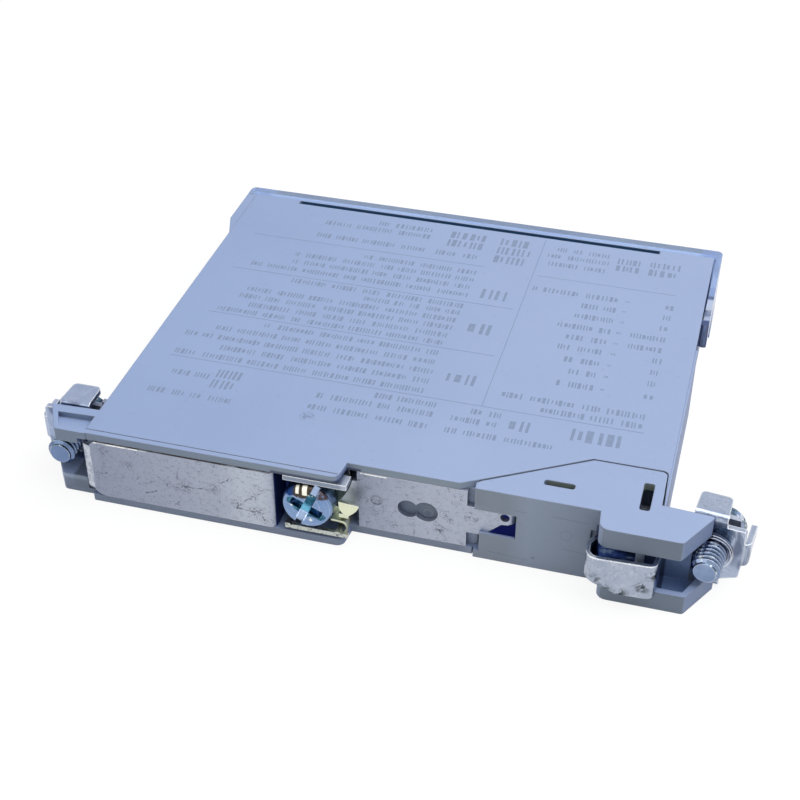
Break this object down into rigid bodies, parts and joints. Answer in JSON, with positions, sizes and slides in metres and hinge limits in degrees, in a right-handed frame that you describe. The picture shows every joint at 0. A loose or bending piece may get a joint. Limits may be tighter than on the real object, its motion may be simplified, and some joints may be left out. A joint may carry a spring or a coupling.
{
  "type": "safety barrier",
  "caption": "Slim rail-mounted safety barrier: a flat grey housing with a clear hinged front, screw terminals, a rail foot with a sprung clip, a rail claw and clamps at both ends.",
  "frame": {"origin": "middle of the lower large side face of the housing", "axes": "+X along the base from the left clamp to the right clamp, +Y from the rail to the front cover, +Z through the thickness"},
  "size_m": [0.1003, 0.0739, 0.012],
  "materials": {
    "grey_plastic": "fine moulded texture, satin",
    "tinned_sheet": "tinned, dull with stains",
    "bright_steel": "bright zinc plated",
    "blue_zinc": "blue zinc plated",
    "yellow_zinc": "pale yellow zinc plated",
    "clear_plastic": "clear, smooth",
    "potting": "cast resin",
    "board": "lacquered board",
    "component": "moulded",
    "copper_alloy": "plain",
    "label_paper": "printed film, left bare",
    "carrier_plastic": "satin"
  },
  "bodies": {
    "module": {"housing": "grey_plastic", "side_cover": "grey_plastic", "potting_block": "potting", "circuit_board": "board", "fuse": "component", "zener_diode_1": "component", "zener_diode_2": "component", "zener_diode_3": "component", "resistor_1": "component", "resistor_2": "component", "terminal_bar_1": "copper_alloy", "terminal_bar_2": "copper_alloy", "terminal_bar_3": "copper_alloy", "terminal_bar_4": "copper_alloy", "earth_strip": "tinned_sheet", "fixing_frame": "bright_steel", "rail_contact_plate": "tinned_sheet", "rail_foot": "grey_plastic", "label_carrier": "carrier_plastic", "label_strip": "label_paper", "cover_pin": "bright_steel"},
    "terminal_cage_1": {"terminal_cage_1": "bright_steel"},
    "terminal_cage_2": {"terminal_cage_2": "bright_steel"},
    "terminal_cage_3": {"terminal_cage_3": "bright_steel"},
    "terminal_cage_4": {"terminal_cage_4": "bright_steel"},
    "terminal_screw_1": {"terminal_screw_1": "bright_steel"},
    "terminal_screw_2": {"terminal_screw_2": "bright_steel"},
    "terminal_screw_3": {"terminal_screw_3": "bright_steel"},
    "terminal_screw_4": {"terminal_screw_4": "bright_steel"},
    "fixing_screw": {"fixing_screw": "blue_zinc"},
    "rail_claw": {"rail_claw": "yellow_zinc"},
    "latch_clip": {"latch_clip": "tinned_sheet"},
    "left_clamp_yoke": {"left_clamp_yoke": "bright_steel"},
    "left_clamp_screw": {"left_clamp_screw": "bright_steel"},
    "right_clamp_yoke": {"right_clamp_yoke": "bright_steel"},
    "right_clamp_screw": {"right_clamp_screw": "bright_steel"},
    "front_cover": {"front_cover": "clear_plastic"}
  },
  "joints": [
    {"name": "cover_hinge", "type": "hinge", "parent": "module", "child": "front_cover", "pos_m": [0.0381, 0.01725, 0.0093], "axis": [0, 0, -1], "range_deg": [0, 90]},
    {"name": "latch_slide", "type": "slide", "parent": "module", "child": "latch_clip", "axis": [1, 0, 0], "range_m": [0, 0.002], "stiffness_N_per_m": 2000},
    {"name": "claw_slide", "type": "slide", "parent": "module", "child": "rail_claw", "axis": [0, 1, 0], "range_m": [0, 0.0009]},
    {"name": "fixing_screw_turn", "type": "hinge", "parent": "rail_claw", "child": "fixing_screw", "pos_m": [-0.0073, -0.03425, 0.006], "axis": [0, 1, 0], "range_deg": [0, 462.9]},
    {"name": "left_clamp_screw_turn", "type": "hinge", "parent": "module", "child": "left_clamp_screw", "pos_m": [-0.0442, -0.03315, 0.006], "axis": [0, -1, 0], "range_deg": [0, 822.9]},
    {"name": "left_clamp_slide", "type": "slide", "parent": "module", "child": "left_clamp_yoke", "axis": [0, 1, 0], "range_m": [0, 0.0016]},
    {"name": "right_clamp_screw_turn", "type": "hinge", "parent": "module", "child": "right_clamp_screw", "pos_m": [0.0456, -0.03315, 0.006], "axis": [-0.1219, -0.9925, 0], "range_deg": [0, 822.9]},
    {"name": "right_clamp_slide", "type": "slide", "parent": "module", "child": "right_clamp_yoke", "axis": [0.1219, 0.9925, 0], "range_m": [0, 0.0016]},
    {"name": "terminal_screw_1_turn", "type": "hinge", "parent": "module", "child": "terminal_screw_1", "pos_m": [-0.0344, 0.01855, 0.00345], "axis": [0, -1, 0], "range_deg": [0, 1728.1]},
    {"name": "terminal_cage_1_slide", "type": "slide", "parent": "module", "child": "terminal_cage_1", "axis": [0, 1, 0], "range_m": [0, 0.0024]},
    {"name": "terminal_screw_2_turn", "type": "hinge", "parent": "module", "child": "terminal_screw_2", "pos_m": [-0.0344, 0.01855, 0.00855], "axis": [0, -1, 0], "range_deg": [0, 1728.1]},
    {"name": "terminal_cage_2_slide", "type": "slide", "parent": "module", "child": "terminal_cage_2", "axis": [0, 1, 0], "range_m": [0, 0.0024]},
    {"name": "terminal_screw_3_turn", "type": "hinge", "parent": "module", "child": "terminal_screw_3", "pos_m": [0.0344, 0.01855, 0.00345], "axis": [0, -1, 0], "range_deg": [0, 1728.1]},
    {"name": "terminal_cage_3_slide", "type": "slide", "parent": "module", "child": "terminal_cage_3", "axis": [0, 1, 0], "range_m": [0, 0.0024]},
    {"name": "terminal_screw_4_turn", "type": "hinge", "parent": "module", "child": "terminal_screw_4", "pos_m": [0.0344, 0.01855, 0.00855], "axis": [0, -1, 0], "range_deg": [0, 1728.1]},
    {"name": "terminal_cage_4_slide", "type": "slide", "parent": "module", "child": "terminal_cage_4", "axis": [0, 1, 0], "range_m": [0, 0.0024]}
  ],
  "couplings": [
    {"joint": "fixing_screw_turn", "follows": "claw_slide", "rad_per_m": 8976},
    {"joint": "left_clamp_screw_turn", "follows": "left_clamp_slide", "rad_per_m": 8976},
    {"joint": "right_clamp_screw_turn", "follows": "right_clamp_slide", "rad_per_m": 8976},
    {"joint": "terminal_screw_1_turn", "follows": "terminal_cage_1_slide", "rad_per_m": 12566},
    {"joint": "terminal_screw_2_turn", "follows": "terminal_cage_2_slide", "rad_per_m": 12566},
    {"joint": "terminal_screw_3_turn", "follows": "terminal_cage_3_slide", "rad_per_m": 12566},
    {"joint": "terminal_screw_4_turn", "follows": "terminal_cage_4_slide", "rad_per_m": 12566}
  ]
}
